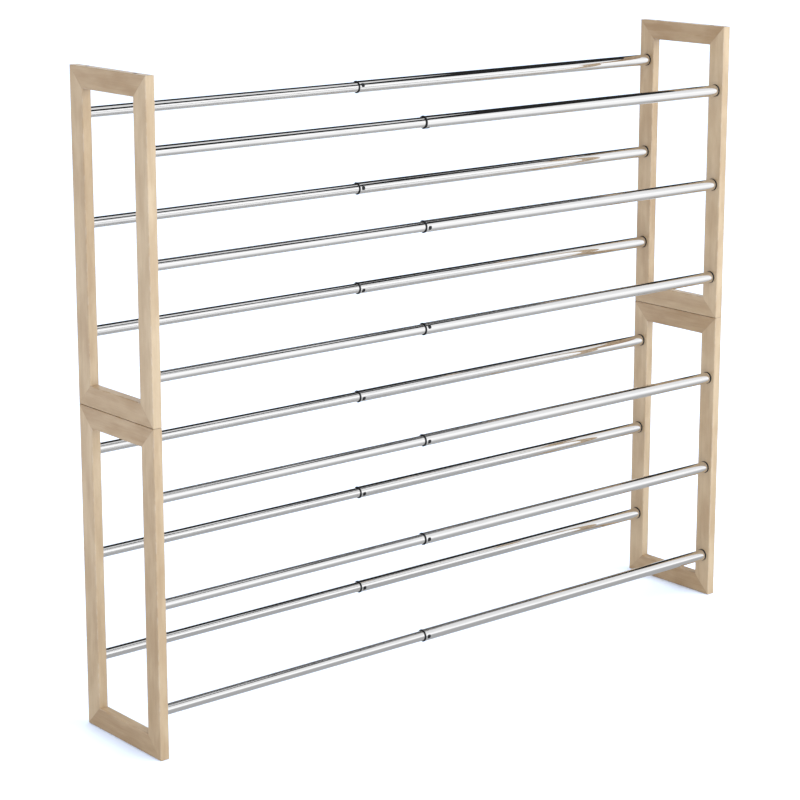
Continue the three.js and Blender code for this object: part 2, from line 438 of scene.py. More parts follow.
def fill_polish(tree, given, result):
    """Metal polish: hair-fine lines along x over slow waves, for roughness and bump."""
    hair = stretched_noise(tree, given["Place"], (60.0, 5200.0, 5200.0), 2.0)
    haze = stretched_noise(tree, given["Place"], (9.0, 60.0, 60.0), 3.0)
    share = calculate(tree, "ADD", times(tree, hair, 0.45), times(tree, haze, 0.55))
    spread = remap(tree, share, 0.38, 0.66)
    gap = calculate(tree, "SUBTRACT", given["Rough"], given["Smooth"])
    roughness = calculate(tree, "MULTIPLY_ADD", spread, gap, given["Smooth"])
    connect(tree, result, {"Roughness": roughness, "Height": hair})


def fill_moulding(tree, given, result):
    """Moulded plastic: a fine spark-eroded texture with soft flow marks."""
    pit = plain_noise(tree, given["Place"], 3800.0, 2.0, 0.55)
    share = remap(tree, plain_noise(tree, given["Place"], 240.0, 2.0), 0.35, 0.7, 0.0, 0.6)
    connect(tree, result, {
        "Color": blend_colour(tree, share, given["Dark"], given["Light"]),
        "Roughness": remap(tree, pit, 0.3, 0.7, 0.36, 0.52),
        "Height": pit})


# Each group's input sockets, output sockets and filling function.
SHARED_GROUPS = {
    "wood_grain": (
        {"Place": "Vector", "Tone": "Float", "Pale": "Color", "Deep": "Color"},
        {"Color": "Color", "Roughness": "Float", "Height": "Float"}, fill_grain),
    "edge_wear": (
        {"Place": "Vector", "Edge": "Float", "Size": "Float"},
        {"Worn": "Float", "Marks": "Float"}, fill_wear),
    "metal_polish": (
        {"Place": "Vector", "Smooth": "Float", "Rough": "Float"},
        {"Roughness": "Float", "Height": "Float"}, fill_polish),
    "moulded_skin": (
        {"Place": "Vector", "Dark": "Color", "Light": "Color"},
        {"Color": "Color", "Roughness": "Float", "Height": "Float"}, fill_moulding),
}


def new_material(name, **constants):
    """Material with one Principled shader whose plain values are set on its sockets."""
    material = bpy.data.materials.new(name)
    material.use_nodes = True
    tree = material.node_tree
    shader = tree.nodes["Principled BSDF"]
    for label, value in constants.items():
        shader.inputs[label.replace("_", " ")].default_value = value
    return material, tree, shader


def set_bump(tree, shader, height, strength, distance):
    """Fine relief from a height, for the shader's Normal."""
    bump = add_node(tree, "ShaderNodeBump", {"Height": height, "Strength": strength, "Distance": distance})
    tree.links.new(bump.outputs["Normal"], shader.inputs["Normal"])


def attribute_value(tree, name, output):
    """Output of a value stored on the piece's points."""
    return add_node(tree, "ShaderNodeAttribute", attribute_name=name).outputs[output]


def object_place(tree):
    """A point's place in the piece's own axes, which are the rack's."""
    return add_node(tree, "ShaderNodeTexCoord").outputs["Object"]


def worn_edges(tree, place, size):
    """Edge wear of one material; size is the scale of its patches."""
    edge = attribute_value(tree, "edge", "Fac")
    return group_node(tree, "edge_wear", {"Place": place, "Edge": edge, "Size": size})


def polish_lines(tree, place, smooth, rough):
    """Metal polish of one material, between its smoothest and its roughest."""
    return group_node(tree, "metal_polish", {"Place": place, "Smooth": smooth, "Rough": rough})


def opaque(colour):
    """Colour with an alpha of 1, as a node's socket takes it."""
    return (*colour, 1.0)


def wood_material():
    """Lacquered pale wood: grain, a faint dark line at each mitre, and edges rubbed lighter."""
    name = "lacquered_wood"
    if name in bpy.data.materials:
        return bpy.data.materials[name]
    settings = bpy.context.scene.rack_frames
    material, tree, shader = new_material(name, Specular_IOR_Level=0.5, Coat_Roughness=0.15)
    place = attribute_value(tree, "grain_place", "Vector")
    grain = group_node(tree, "wood_grain", {
        "Place": place, "Tone": attribute_value(tree, "bar_tone", "Fac"),
        "Pale": opaque(settings.pale_wood), "Deep": opaque(settings.deep_wood)})
    wear = worn_edges(tree, place, 90.0)
    seam = remap(tree, attribute_value(tree, "from_mitre", "Fac"), 0.0, 0.0007, 0.10, 0.0)
    seamed = blend_colour(tree, seam, grain["Color"], (0.17, 0.10, 0.06, 1.0))
    rubbed = blend_colour(tree, times(tree, wear["Worn"], 0.14), seamed, (0.80, 0.69, 0.56, 1.0))
    connect(tree, shader.inputs, {
        "Base Color": rubbed,
        "Roughness": calculate(tree, "ADD", grain["Roughness"], times(tree, wear["Worn"], 0.12)),
        "Coat Weight": remap(tree, wear["Marks"], 0.0, 1.0, 0.65, 0.45)})
    set_bump(tree, shader, grain["Height"], 0.25, 0.00012)
    return material


def chrome_material():
    """Bright chrome plating with fine polish lines, faint handling marks and duller cut rims."""
    name = "chrome_plate"
    if name in bpy.data.materials:
        return bpy.data.materials[name]
    settings = bpy.context.scene.rack_rails
    material, tree, shader = new_material(name, Metallic=1.0)
    place = object_place(tree)
    polish = polish_lines(tree, place, 0.015, 0.045)
    wear = worn_edges(tree, place, 700.0)
    dulled = calculate(tree, "ADD", times(tree, wear["Worn"], 0.20), times(tree, wear["Marks"], 0.02))
    connect(tree, shader.inputs, {
        "Base Color": blend_colour(tree, wear["Marks"], opaque(settings.chrome), (0.86, 0.86, 0.87, 1.0)),
        "Roughness": calculate(tree, "ADD", polish["Roughness"], dulled)})
    set_bump(tree, shader, polish["Height"], 0.03, 0.00002)
    return material


def plastic_material():
    """Black moulded plastic, finely pitted and a little greyer where it is rubbed."""
    name = "black_moulding"
    if name in bpy.data.materials:
        return bpy.data.materials[name]
    settings = bpy.context.scene.rack_fittings
    material, tree, shader = new_material(name, Specular_IOR_Level=0.28)
    place = object_place(tree)
    skin = group_node(tree, "moulded_skin", {
        "Place": place, "Dark": opaque(settings.black), "Light": (0.016, 0.0155, 0.015, 1.0)})
    wear = worn_edges(tree, place, 900.0)
    connect(tree, shader.inputs, {
        "Base Color": blend_colour(tree, wear["Worn"], skin["Color"], (0.045, 0.044, 0.043, 1.0)),
        "Roughness": calculate(tree, "SUBTRACT", skin["Roughness"], times(tree, wear["Worn"], 0.12))})
    set_bump(tree, shader, skin["Height"], 0.35, 0.00003)
    return material


def steel_material():
    """Turned steel of the stacking pins."""
    name = "turned_steel"
    if name in bpy.data.materials:
        return bpy.data.materials[name]
    settings = bpy.context.scene.rack_fittings
    material, tree, shader = new_material(name, Metallic=1.0)
    place = object_place(tree)
    polish = polish_lines(tree, place, 0.22, 0.38)
    wear = worn_edges(tree, place, 600.0)
    connect(tree, shader.inputs, {
        "Base Color": blend_colour(tree, wear["Worn"], opaque(settings.steel), (0.72, 0.73, 0.74, 1.0)),
        "Roughness": polish["Roughness"]})
    set_bump(tree, shader, polish["Height"], 0.2, 0.00002)
    return material


# End frames.

def line_steps(half, inner, cells):
    """Positions from -half to half with an even run of cells between -inner and inner, or none."""
    middle = np.linspace(-inner, inner, cells + 1) if cells else np.empty(0)
    return np.concatenate([[-half, SUPPORT - half], middle, [half - SUPPORT, half]])


def section_table(width, thickness, edge, seat_block, pin_block):
    """Rounded rectangle round a bar, as columns: distance round it, (w, t) position and outward normal.

    The four sides are +t, w = 0, -t and w = width, each centred on its own middle; quarter arcs join them.
    The first side has grid lines for a rail seat and the second for a pin hole.
    """
    centre = np.array([width / 2, 0.0])
    extent = np.array([width / 2, thickness / 2])
    normals = np.array([(0.0, 1.0), (-1.0, 0.0), (0.0, -1.0), (1.0, 0.0)])
    arc = np.radians(np.linspace(0.0, 90.0, 6))[1:-1, None]
    points, outward, middles = [], [], []
    for side in range(4):
        normal, travel = normals[side], normals[(side + 1) % 4]
        half = float(abs(travel) @ extent) - edge
        block = (seat_block, pin_block, (0.0, 0), (0.0, 0))[side]
        steps = line_steps(half, *block)
        face = centre + normal * float(abs(normal) @ extent)
        middles.append((sum(map(len, points)), len(steps)))
        points.append(face + steps[:, None] * travel)
        outward.append(np.repeat(normal[None], len(steps), axis=0))
        turned = normal * np.cos(arc) + travel * np.sin(arc)
        points.append(centre + (normal + travel) * (extent - edge) + turned * edge)
        outward.append(turned)
    points = np.concatenate(points)
    outward = np.concatenate(outward)
    distance = np.concatenate([[0.0], np.cumsum(np.linalg.norm(np.diff(points, axis=0), axis=1))])
    return distance, points, outward, middles


def bar_shell(length, width, thickness, trim, seats, pins, settings):
    """Mitred bar with blind round holes.

    Point (u, s, h): w and t come from the section at distance s round it, moved h along its normal.
    Near an end, x = low + (straight - low) * (u - trim) / (straight - trim) with low = trim + w, so the
    first row lies on the 45 degree cut; from straight onwards x = u. The far end mirrors this.
    seats and pins list (position along the bar, hole radius) on the first and second side. The grid
    round each hole is a block, given by its half length and how many cells it has.
    """
    seat_block, pin_block = (0.012, 12), (0.005, 8)
    # The slanted rows beside a mitre straighten out within this length, past the bar's width.
    easing = 0.012
    straight = width + easing if seats else length / 2
    distance, outline, outward, middles = section_table(
        width, thickness, settings.edge_radius, seat_block, pin_block)

    def lift(u, s, height):
        w, t = (np.interp(s, distance, outline[:, axis]) + height * np.interp(s, distance, outward[:, axis])
                for axis in range(2))
        mirrored = np.minimum(u, length - u)
        low = trim + np.clip(w, 0.0, width)
        eased = low + (straight - low) * (mirrored - trim) / (straight - trim)
        reach = np.where(mirrored < straight, eased, mirrored)
        return np.stack([np.where(u > length / 2, length - reach, reach), w, t], axis=-1)

    block, side, holes = (seat_block, 0, seats) if seats else (pin_block, 1, pins)
    runs = [position + np.linspace(-block[0], block[0], block[1] + 1) for position, _ in holes]
    rows = np.concatenate([[trim], *runs, [length - trim]])
    first, count = middles[side]
    left, right = first + 2, first + count - 3
    starts = [1 + hole * (block[1] + 1) for hole in range(len(holes))]
    gaps = [(start, start + block[1], left, right) for start in starts]
    flats = np.stack(np.broadcast_arrays(rows[:, None], distance[None, :]), axis=-1)
    shell = Shell()
    numbers = shell.grid(lift(flats[..., 0], flats[..., 1], 0.0), gaps)
    middle = (distance[left] + distance[right]) / 2
    depth = settings.rail_seat_depth if seats else settings.pin_hole_depth
    chamfer, beside = settings.rim_chamfer, settings.rim_chamfer * 1.6
    for gap, (position, radius) in zip(gaps, holes):
        ring, centre = gap_ring(numbers, gap), np.array([position, middle])
        steps = [(radius + beside, 0.0), (radius + chamfer, 0.0), (radius, -chamfer), (radius, -beside),
                 (radius, SUPPORT - depth), (radius, -depth), (radius * 0.96, -depth)]
        shell.cap(fill_gap(shell, ring, flats.reshape(-1, 2)[ring], centre, steps, lift))
    shell.cap(numbers[0][::-1])
    shell.cap(numbers[-1])
    return shell


def bar_values(local, length, width, thickness, trim, edge, shift, tone):
    """Values for the wood: where its grain is read, its nearness to a rounded edge and a mitre, its tone."""
    along, across, through = local.T
    from_side = np.minimum(across, width - across)
    from_face = thickness / 2 - np.abs(through)
    corner = edge - np.maximum(from_side, from_face)
    rounded = np.clip(corner / (edge * 0.3), 0.0, 1.0)
    mitre = np.minimum(along, length - along) - across - trim
    return {
        "grain_place": local + shift,
        "edge": rounded,
        "from_mitre": np.clip(mitre, 0.0, None) / math.sqrt(2.0),
        "bar_tone": np.full(len(local), tone),
    }


def build_end_frame(unit, side, shifts, tones):
    """Four mitred bars round an upright rectangle.

    Each bar's x runs along it, its y into the opening and its z to the rack's middle.
    """
    settings = bpy.context.scene.rack_frames
    label = f"{unit}_{side}"
    foot_low, foot_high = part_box(f"{label}_bottom_bar")
    head_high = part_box(f"{label}_top_bar")[1]
    front_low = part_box(f"{label}_front_stile")[0]
    back_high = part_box(f"{label}_back_stile")[1]
    width, thickness = foot_high.z - foot_low.z, foot_high.x - foot_low.x
    trim = settings.mitre_trim
    lowest = np.array([foot_low.x, front_low.y, foot_low.z])
    highest = np.array([foot_high.x, back_high.y, head_high.z])
    centre = (lowest + highest) / 2
    depth, height = back_high.y - front_low.y, head_high.z - foot_low.z
    inward = np.array([1.0 if side == "left" else -1.0, 0.0, 0.0])
    tube = "inner_tube" if side == "left" else "outer_tube"
    seat_boxes = [(row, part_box(f"{unit}_{row}_{tube}_{tier}")) for row in ROWS for tier in TIERS]
    pin_boxes = [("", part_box(f"{side}_{row}_stacking_pin")) for row in ROWS]
    for bar, across, shift, tone in zip(BARS, BAR_INWARDS, shifts, tones):
        inwards = np.array(across, float)
        upright = bar.endswith("stile")
        length, half = (height, depth / 2) if upright else (depth, height / 2)
        along = np.cross(inwards, inward)
        origin = centre - inwards * half - along * length / 2
        holes = []
        for row, (low, high) in seat_boxes if upright else pin_boxes:
            if bar.startswith(row):
                radius = (high.z - low.z if upright else high.x - low.x) / 2 + settings.hole_clearance
                holes.append((float((np.array((low + high) / 2) - origin) @ along), radius))
        seats, pins = (sorted(holes), []) if upright else ([], sorted(holes))
        shell = bar_shell(length, width, thickness, trim, seats, pins, settings)
        values = bar_values(
            shell.local_points(), length, width, thickness, trim, settings.edge_radius, shift, tone)
        axes = [along, inwards, inward]
        finish_piece(f"{label}_{bar}", shell, axes, origin, wood_material(), values)


# Rails.

def tube_profile(start, end, radius, bore, round_rim, marks=()):
    """Round of a tube wall: outside from start to end, rounded rim, inside back to start, rounded rim.

    marks are extra positions along the wall that both sides share. Gives the points, and how many of
    them are on the outside and on a rim.
    """
    beside = 2.0 * round_rim
    outside = np.concatenate([[start + round_rim, start + beside], marks, [end - beside, end - round_rim]])
    outer = np.stack([outside, np.full(len(outside), radius)], axis=-1)
    inner = np.stack([outside[::-1], np.full(len(outside), bore)], axis=-1)
    far = [fillet((end - round_rim, radius - round_rim), round_rim, 90.0, 0.0)[1:],
           fillet((end - round_rim, bore + round_rim), round_rim, 0.0, -90.0)[:-1]]
    near = [fillet((start + round_rim, bore + round_rim), round_rim, -90.0, -180.0)[1:],
            fillet((start + round_rim, radius - round_rim), round_rim, 180.0, 90.0)[:-1]]
    return np.concatenate([outer, *far, inner, *near]), len(outside), sum(map(len, far))


def rim_mask(local, start, end, reach=0.0006):
    """1 at the two ends of a piece, falling to 0 within the reach given."""
    nearest = np.minimum(local[:, 0] - start, end - local[:, 0])
    return np.clip(1.0 - nearest / reach, 0.0, 1.0)


def outer_mask(local, start, reach):
    """0 up to the starting distance from the axis, rising to 1 within the reach given."""
    return np.clip((np.hypot(local[:, 1], local[:, 2]) - start) / reach, 0.0, 1.0)


def round_lift(u, v, radius):
    """Point at u along the axis and v across it, on the cylinder of that radius."""
    return np.stack([u, -v, np.sqrt(radius * radius - v * v)], axis=-1)


def nub_direction(bushing, axis, tube_radius, tube_start):
    """Unit (y, z) from a rail's axis to its bushing's nub, and the nub's x, read from the solid bushing."""
    vertices = frame["nodes"][bushing].data.vertices
    points = np.empty(len(vertices) * 3)
    vertices.foreach_get("co", points)
    points = points.reshape(-1, 3)
    offset = points[:, 1:] - axis
    standing = (np.linalg.norm(offset, axis=1) > tube_radius + 0.0002) & (points[:, 0] > tube_start)
    mean = offset[standing].mean(axis=0)
    return mean / np.linalg.norm(mean), float(points[standing, 0].mean())


def rail_facts(unit, row, tier):
    """Measures of one rail, from the solid parts."""
    low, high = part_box(f"{unit}_{row}_outer_tube_{tier}")
    axis = np.array([(low.y + high.y) / 2, (low.z + high.z) / 2])
    radius = (high.z - low.z) / 2
    toward, nub_x = nub_direction(f"{unit}_{row}_bushing_{tier}", axis, radius, low.x)
    axes = [(1.0, 0.0, 0.0), (0.0, toward[1], -toward[0]), (0.0, toward[0], toward[1])]
    return {"start": low.x, "end": high.x, "radius": radius, "axes": axes, "nub": nub_x,
            "origin": (0.0, axis[0], axis[1])}


# The grid round a nub is a block of cells: how many each way, and its half length.
BLOCK_CELLS = 10
BLOCK_REACH = 0.0042
# How far a nub stands out of its tube, and the power of its outline in fill_gap.
NUB_PROUD = 0.0006
SQUARISH = 3.5


def block_span(sides):
    """First and last column of the opening's block, centred on angle 0."""
    return sides // 2 - BLOCK_CELLS // 2, sides // 2 + BLOCK_CELLS // 2


def block_flat(rows, radius, sides):
    """(u, v) of every grid point: u along the axis, v = radius * sin a across it."""
    across = radius * np.sin(turned_angles(sides))
    return np.stack(np.broadcast_arrays(rows[:, None], across[None, :]), axis=-1)


def build_thick_tube(unit, row, tier):
    """Thick tube with the squarish hole that the bushing's nub snaps into."""
    rails, fittings = bpy.context.scene.rack_rails, bpy.context.scene.rack_fittings
    facts = rail_facts(unit, row, tier)
    radius, bore, sides = facts["radius"], facts["radius"] - rails.wall, rails.sides
    block = facts["nub"] + np.linspace(-BLOCK_REACH, BLOCK_REACH, BLOCK_CELLS + 1)
    profile, count, rim = tube_profile(facts["start"], facts["end"], radius, bore, rails.rim_round, block)
    left, right = block_span(sides)
    # The wall's straight run starts with two points beside the rim, outside and inside alike.
    first = 2
    last_inside = count + rim + count - 1 - first
    outer_gap = (first, first + BLOCK_CELLS, left, right)
    inner_gap = (last_inside - BLOCK_CELLS, last_inside, left, right)
    shell = Shell()
    numbers = shell.grid(turned_points(profile, sides), (outer_gap, inner_gap), closed=True)
    flipped = numbers[::-1]
    last = len(profile) - 1
    turned_gap = (last - inner_gap[1], last - inner_gap[0], left, right)
    flat = block_flat(profile[:, 0], radius, sides).reshape(-1, 2)
    outer_ring = gap_ring(numbers, outer_gap)
    size = fittings.nub_half_width + fittings.nub_clearance
    rounding = 0.0001
    steps = [(size + 2 * rounding, radius), (size + rounding, radius), (size, radius - rounding),
             (size, radius - 2 * rounding), (size, bore + 2 * rounding), (size, bore + rounding),
             (size + rounding, bore), (size + 2 * rounding, bore)]
    centre = np.array([facts["nub"], 0.0])
    ring = fill_gap(shell, outer_ring, flat[outer_ring], centre, steps, round_lift, SQUARISH)
    shell.band(ring, gap_ring(flipped, turned_gap))
    values = {"edge": rim_mask(shell.local_points(), facts["start"], facts["end"])}
    finish_piece(f"{unit}_{row}_outer_tube_{tier}", shell, facts["axes"], facts["origin"],
                 chrome_material(), values)


def build_thin_tube(unit, row, tier):
    """Thin tube that slides in the thick one."""
    rails = bpy.context.scene.rack_rails
    name = f"{unit}_{row}_inner_tube_{tier}"
    low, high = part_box(name)
    radius = (high.z - low.z) / 2
    profile = tube_profile(low.x, high.x, radius, radius - rails.wall, rails.rim_round)[0]
    shell = turned_ring(profile, rails.sides)
    values = {"edge": rim_mask(shell.local_points(), low.x, high.x)}
    origin = (0.0, (low.y + high.y) / 2, (low.z + high.z) / 2)
    finish_piece(name, shell, np.eye(3), origin, chrome_material(), values)


def build_bushing(unit, row, tier):
    """Bushing: rounded flange, thin sleeve and the squarish nub with a domed top."""
    rails, fittings = bpy.context.scene.rack_rails, bpy.context.scene.rack_fittings
    facts = rail_facts(unit, row, tier)
    name = f"{unit}_{row}_bushing_{tier}"
    low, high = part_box(name)
    inner_low, inner_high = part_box(f"{unit}_{row}_inner_tube_{tier}")
    # Gap to both tubes, rounding of the flange's outer edge, and bevel of the other edges.
    fit, soft, lead = 0.00015, 0.0004, 0.0002
    flange = (high.z - low.z) / 2
    bore = (inner_high.z - inner_low.z) / 2 + fit
    sleeve = facts["radius"] - rails.wall - fit
    tube_face = facts["start"] - fit
    block = facts["nub"] + np.linspace(-BLOCK_REACH, BLOCK_REACH, BLOCK_CELLS + 1)
    outside = [[tube_face + 0.0001, sleeve], *[[x, sleeve] for x in block], [high.x - lead, sleeve]]
    profile = np.concatenate([
        [[low.x + lead, bore]],
        fillet((low.x + lead, bore + lead), lead, -90.0, -180.0)[1:],
        [[low.x, flange - soft - 0.0001]],
        fillet((low.x + soft, flange - soft), soft, 180.0, 90.0, 6),
        fillet((tube_face - lead, flange - lead), lead, 90.0, 0.0),
        [[tube_face, sleeve + 0.0002], [tube_face, sleeve + 0.00005]], outside,
        [[high.x, sleeve - lead / 2], [high.x, bore + lead / 2], [high.x - lead, bore]]])
    first = int(np.argmax((np.abs(profile[:, 0] - block[0]) < 1e-9) & (profile[:, 1] > bore + fit)))
    left, right = block_span(rails.sides)
    gap = (first, first + BLOCK_CELLS, left, right)
    shell = Shell()
    numbers = shell.grid(turned_points(profile, rails.sides), (gap,), closed=True)
    flat = block_flat(profile[:, 0], sleeve, rails.sides).reshape(-1, 2)
    ring = gap_ring(numbers, gap)
    nub, top = fittings.nub_half_width, facts["radius"] + NUB_PROUD
    # Each step is (half width, height), from the sleeve up the side and over the dome.
    steps = [(nub + 0.0002, sleeve), (nub, sleeve + 0.0002), (nub, sleeve + 0.0003), (nub, top - 0.0006),
             (nub * 0.99, top - 0.0004), (nub * 0.93, top - 0.0002), (nub * 0.82, top - 0.00007),
             (nub * 0.6, top - 0.00001), (nub * 0.3, top)]
    centre = np.array([facts["nub"], 0.0])
    shell.cap(fill_gap(shell, ring, flat[ring], centre, steps, round_lift, SQUARISH))
    local = shell.local_points()
    values = {"edge": outer_mask(local, flange - 0.0005, 0.0004) * (local[:, 0] < tube_face)}
    finish_piece(name, shell, facts["axes"], facts["origin"], plastic_material(), values)


def build_frame_ring(unit, row, tier, side):
    """Ring round a tube where it enters its stile: a rounded lip outside and a thin sleeve in the seat."""
    rails, fittings = bpy.context.scene.rack_rails, bpy.context.scene.rack_fittings
    tube = "inner_tube" if side == "left" else "outer_tube"
    node = f"{unit}_{row}_{tube}_{tier}"
    low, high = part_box(node)
    frame_low, frame_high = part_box(f"{unit}_{side}_{row}_stile")
    face = frame_high.x if side == "left" else frame_low.x
    width, lip = ((fittings.thin_ring, fittings.thin_ring_lip) if side == "left"
                  else (fittings.wide_ring, fittings.wide_ring_lip))
    radius = (high.z - low.z) / 2
    # The gap keeps the lip off the wood, and the sleeve reaches 3 mm into the seat.
    bore, sleeve, gap, inner_end = radius + 0.00006, radius + 0.0002, 0.00005, -0.003
    front, soft = gap + width, min(width, lip) * 0.45
    profile = np.concatenate([
        [[gap, radius + lip], [front - soft, radius + lip]],
        fillet((front - soft, radius + lip - soft), soft, 90.0, 0.0, 5)[1:],
        [[front, bore + 0.0001], [front - 0.0001, bore],
         [inner_end, bore], [inner_end, sleeve], [gap, sleeve]]])
    shell = turned_ring(profile[::-1], rails.sides)
    edge = outer_mask(shell.local_points(), radius + lip - 0.0003, 0.0003)
    away = 1.0 if side == "left" else -1.0
    axes = [(away, 0.0, 0.0), (0.0, away, 0.0), (0.0, 0.0, 1.0)]
    origin = (face, (low.y + high.y) / 2, (low.z + high.z) / 2)
    finish_piece(node, shell, axes, origin, plastic_material(), {"edge": edge},
                 f"{unit}_{row}_{side}_ring_{tier}")


# Pins and plugs.

# Axes of a turned piece that stands upright, with its own x pointing up, and its facets.
UPRIGHT = [(0.0, 0.0, 1.0), (1.0, 0.0, 0.0), (0.0, 1.0, 0.0)]
ROD_SIDES = 48


def build_pin(side, row):
    """Stacking pin: a straight rod with rounded ends."""
    name = f"{side}_{row}_stacking_pin"
    low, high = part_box(name)
    radius, soft = (high.x - low.x) / 2, 0.0009
    profile = np.concatenate([
        [[low.z, radius * 0.2], [low.z, radius - soft - 0.0001]],
        fillet((low.z + soft, radius - soft), soft, 180.0, 90.0, 6), [[low.z + soft + 0.0002, radius]],
        [[high.z - soft - 0.0002, radius]], fillet((high.z - soft, radius - soft), soft, 90.0, 0.0, 6),
        [[high.z, radius - soft - 0.0001], [high.z, radius * 0.2]]])
    shell = turned_rod(profile, ROD_SIDES)
    values = {"edge": rim_mask(shell.local_points(), low.z, high.z, 0.001)}
    origin = ((low.x + high.x) / 2, (low.y + high.y) / 2, 0.0)
    finish_piece(name, shell, UPRIGHT, origin, steel_material(), values)


def build_plug(side, row):
    """Plug of a pin hole: chamfered rim and a shallow dished top."""
    name = f"{side}_{row}_pin_hole_plug"
    low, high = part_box(name)
    radius, foot, top, chamfer = (high.x - low.x) / 2, low.z, high.z, 0.0005
    # Each point is (height, radius): the narrowed foot, the side, the chamfer and the dish.
    profile = np.array([
        [foot, radius * 0.3], [foot, radius - 0.0004],
        [foot + 0.0003, radius - 0.0001], [foot + 0.0005, radius],
        [top - chamfer - 0.0001, radius], [top - chamfer, radius - 0.00002],
        [top - 0.00002, radius - chamfer], [top, radius - chamfer - 0.0001],
        [top, radius - 0.0009], [top - 0.00008, radius - 0.0011], [top - 0.0004, radius - 0.0013],
        [top - 0.0005, radius - 0.0015], [top - 0.0005, radius * 0.2]])
    shell = turned_rod(profile, ROD_SIDES)
    local = shell.local_points()
    edge = outer_mask(local, radius - 0.0008, 0.0004) * (local[:, 0] > top - 0.0008)
    origin = ((low.x + high.x) / 2, (low.y + high.y) / 2, 0.0)
    finish_piece(name, shell, UPRIGHT, origin, plastic_material(), {"edge": edge})


# Stage.

def flat_sheet(name, centre, first, second, cells, material, flare=(0.0, 0.0, 0.0)):
    """Stage sheet: point (a, b) is centre + a * first + b * second + a * b * flare, each from -1 to 1."""
    steps = np.linspace(-1.0, 1.0, cells + 1)
    a, b = (grid[..., None] for grid in np.meshgrid(steps, steps, indexing="ij"))
    points = np.array(centre) + a * np.array(first) + b * np.array(second) + a * b * np.array(flare)
    numbers = np.arange(a.size).reshape(a.shape[:2])
    quads = np.stack([numbers[:-1, :-1], numbers[1:, :-1], numbers[1:, 1:], numbers[:-1, 1:]], axis=-1)
    mesh = bpy.data.meshes.new(name)
    mesh.from_pydata(points.reshape(-1, 3).tolist(), [], quads.reshape(-1, 4).tolist())
    mesh.materials.append(material)
    sheet = bpy.data.objects.new(name, mesh)
    bpy.context.scene.collection.objects.link(sheet)
    return sheet


def build_floor():
    """Wide plain floor; in the chrome it shows as a painted reflection, an emission with painted shade that
    is dimmer close to the rack.
    """
    settings = bpy.context.scene.rack_stage
    material, tree, shader = new_material("pale_floor", Roughness=0.9, Specular_IOR_Level=0.1)
    place = object_place(tree)
    noise = plain_noise(tree, place, 6.0, 2.0)
    even = blend_colour(tree, noise, opaque(settings.floor), (0.955, 0.955, 0.955, 1.0))
    connect(tree, shader.inputs, {"Base Color": even})
    # Painted reflection: glossy rays see an emission instead of the floor, with painted shade that dims it
    # as |y| falls towards the rack.
    part = add_node(tree, "ShaderNodeSeparateXYZ", {"Vector": place}).outputs
    away = calculate(tree, "ABSOLUTE", part["Y"])
    level = remap(tree, away, 0.05, 1.5, 0.42, 1.02)
    mirrored = add_node(tree, "ShaderNodeEmission", {"Strength": level})
    seen = add_node(tree, "ShaderNodeLightPath").outputs["Is Glossy Ray"]
    mixed = add_node(tree, "ShaderNodeMixShader", {0: seen, 1: shader.outputs[0], 2: mirrored.outputs[0]})
    tree.links.new(mixed.outputs[0], tree.nodes["Material Output"].inputs["Surface"])
    level_below = cad_box[0][2] - 0.0005
    flat_sheet("floor", (0.0, 0.0, level_below), (30.0, 0.0, 0.0), (0.0, 30.0, 0.0), 12, material)


def build_painted_dark_reflections():
    """Two dark sheets seen only in the chrome, as painted dark reflections: a low band, and a wedge that
    rises to the right.
    """
    material, tree, shader = new_material("dark_strip", Roughness=1.0)
    # Painted dark reflection: a faint emission on sheets that stand where there is nothing.
    dark = add_node(tree, "ShaderNodeEmission", {"Strength": 0.02})
    tree.links.new(dark.outputs[0], tree.nodes["Material Output"].inputs["Surface"])
    band = flat_sheet("painted_dark_reflection_band", (-0.015, -0.42, 1.3175), (0.435, 0.0, 0.1625), (0.0, 0.0, 0.1925),
                      1, material, (0.0, 0.0, -0.0125))
    wedge = flat_sheet("painted_dark_reflection_wedge", (0.909, -0.237, 1.645), (0.768, 0.922, 0.30), (0.0, 0.0, 0.30),
                       1, material, (0.0, 0.0, 0.30))
    # Hidden from the camera, from diffuse light and from shadows, so the sheets show only as painted
    # reflections in the chrome.
    for sheet in (band, wedge):
        sheet.visible_camera = False
        sheet.visible_diffuse = False
        sheet.visible_shadow = False


